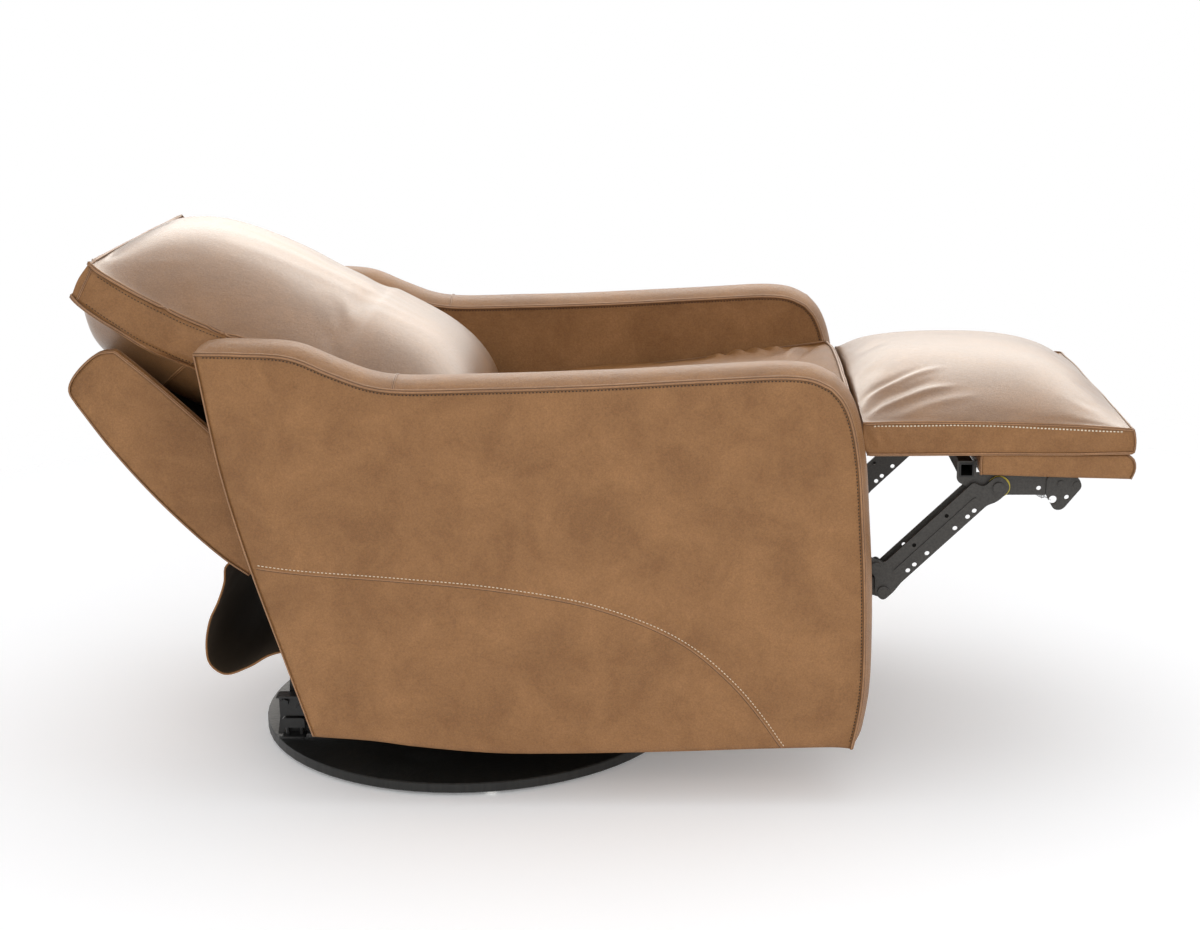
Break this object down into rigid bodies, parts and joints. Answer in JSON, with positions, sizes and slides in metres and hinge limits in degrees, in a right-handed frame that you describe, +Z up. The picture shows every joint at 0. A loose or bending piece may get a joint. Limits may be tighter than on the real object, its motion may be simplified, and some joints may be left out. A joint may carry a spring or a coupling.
{
  "type": "swivel glider recliner",
  "caption": "Leather armchair on a round base that swivels and glides, with a reclining back in two layers, a folding footrest on a steel linkage and padded arms.",
  "frame": {"origin": "middle of the footprint on the floor, in the pose of the picture: back reclined, footrest out", "axes": "+X towards the footrest, +Y towards the sitter's left arm, +Z up. The swivel axis is at X = -0.219 m, Y = 0."},
  "size_m": [1.4746, 0.71, 0.7845],
  "materials": {
    "leather": "satin",
    "black_steel": "satin",
    "black_board": "satin",
    "zinc": "satin",
    "white_plastic": "satin",
    "timber": "matte",
    "webbing": "matte"
  },
  "bodies": {
    "base": {"base_disc": "black_board", "glide_foot_1": "white_plastic", "glide_foot_2": "white_plastic", "glide_foot_3": "white_plastic", "glide_foot_4": "white_plastic", "swivel_lower_race": "zinc"},
    "turntable": {"turntable_plate": "black_steel", "glider_rail_left": "black_steel", "glider_rail_right": "black_steel", "hanger_front_left": "black_steel", "hanger_front_right": "black_steel", "hanger_rear_left": "black_steel", "hanger_rear_right": "black_steel"},
    "front_links": {"swing_link_front_left": "black_steel", "swing_link_front_right": "black_steel"},
    "rear_links": {"swing_link_rear_left": "black_steel", "swing_link_rear_right": "black_steel"},
    "carriage": {"carriage_rail_left": "black_steel", "carriage_rail_right": "black_steel", "carriage_tube_front": "black_steel", "carriage_tube_rear": "black_steel", "side_plate_left": "black_steel", "side_plate_right": "black_steel", "tube_bearing_bracket_left": "black_steel", "tube_bearing_bracket_right": "black_steel", "arm_left": "leather", "arm_right": "leather", "seat_front_rail": "timber", "seat_rear_rail": "timber", "seat_side_rail_left": "timber", "seat_side_rail_right": "timber", "seat_deck": "webbing", "seat_cushion": "leather"},
    "inner_back": {"back_cushion": "leather", "back_hinge_arm_left": "black_steel", "back_hinge_arm_right": "black_steel"},
    "outer_back": {"outer_back_panel": "leather", "outer_back_wing_left": "leather", "outer_back_wing_right": "leather", "outer_back_arm_left": "black_steel", "outer_back_arm_right": "black_steel", "rear_flap": "leather"},
    "inner_links": {"torque_tube": "black_steel", "inner_link_left": "black_steel", "inner_link_right": "black_steel"},
    "outer_links": {"outer_link_left": "black_steel", "outer_link_right": "black_steel"},
    "drive_links": {"drive_link_left": "black_steel", "drive_link_right": "black_steel"},
    "parallel_links": {"parallel_link_left": "black_steel", "parallel_link_right": "black_steel"},
    "footrest": {"footrest_bracket_left": "black_steel", "footrest_bracket_right": "black_steel", "footrest_spring_left": "zinc", "footrest_spring_right": "zinc", "footrest_cross_tube": "black_steel", "footrest_board": "leather", "footrest_pad": "leather"}
  },
  "joints": [
    {"name": "swivel", "type": "hinge", "parent": "base", "child": "turntable", "pos_m": [-0.21942, 0, 0.025], "axis": [0, 0, 1], "continuous": true},
    {"name": "glide", "type": "hinge", "parent": "turntable", "child": "front_links", "pos_m": [0.02658, 0, 0.156], "axis": [0, 1, 0], "range_deg": [-25, 25]},
    {"name": "rear_link_swing", "type": "hinge", "parent": "turntable", "child": "rear_links", "pos_m": [-0.46542, 0, 0.156], "axis": [0, 1, 0], "range_deg": [-26, 26]},
    {"name": "carriage_level", "type": "hinge", "parent": "front_links", "child": "carriage", "pos_m": [0.02658, 0, 0.072], "axis": [0, 1, 0], "range_deg": [-26, 26]},
    {"name": "recline", "type": "hinge", "parent": "carriage", "child": "inner_back", "pos_m": [-0.27442, 0, 0.497], "axis": [0, 1, 0], "range_deg": [0, 42]},
    {"name": "outer_recline", "type": "hinge", "parent": "carriage", "child": "outer_back", "pos_m": [-0.33942, 0, 0.309], "axis": [0, 1, 0], "range_deg": [-1, 29], "deforming": ["rear_flap"]},
    {"name": "footrest_swing", "type": "hinge", "parent": "carriage", "child": "inner_links", "pos_m": [0.15013, 0, 0.36405], "axis": [0, 1, 0], "range_deg": [0, 90]},
    {"name": "knee", "type": "hinge", "parent": "inner_links", "child": "outer_links", "pos_m": [0.39218, 0, 0.2797], "axis": [0, 1, 0], "range_deg": [-91, 1]},
    {"name": "footrest_tilt", "type": "hinge", "parent": "outer_links", "child": "footrest", "pos_m": [0.55028, 0, 0.433], "axis": [0, 1, 0], "range_deg": [-1, 91]},
    {"name": "drive_swing", "type": "hinge", "parent": "carriage", "child": "drive_links", "pos_m": [0.13813, 0, 0.40205], "axis": [0, 1, 0], "range_deg": [-1, 91]},
    {"name": "parallel_swing", "type": "hinge", "parent": "footrest", "child": "parallel_links", "pos_m": [0.52428, 0, 0.441], "axis": [0, 1, 0], "range_deg": [-91, 1]}
  ],
  "couplings": [
    {"joint": "rear_link_swing", "follows": "glide", "ratio": 1},
    {"joint": "carriage_level", "follows": "glide", "ratio": -1},
    {"joint": "outer_recline", "follows": "recline", "ratio": 0.66667},
    {"joint": "knee", "follows": "footrest_swing", "ratio": -1},
    {"joint": "footrest_tilt", "follows": "footrest_swing", "ratio": 1},
    {"joint": "drive_swing", "follows": "footrest_swing", "ratio": 1},
    {"joint": "parallel_swing", "follows": "footrest_swing", "ratio": -1}
  ]
}
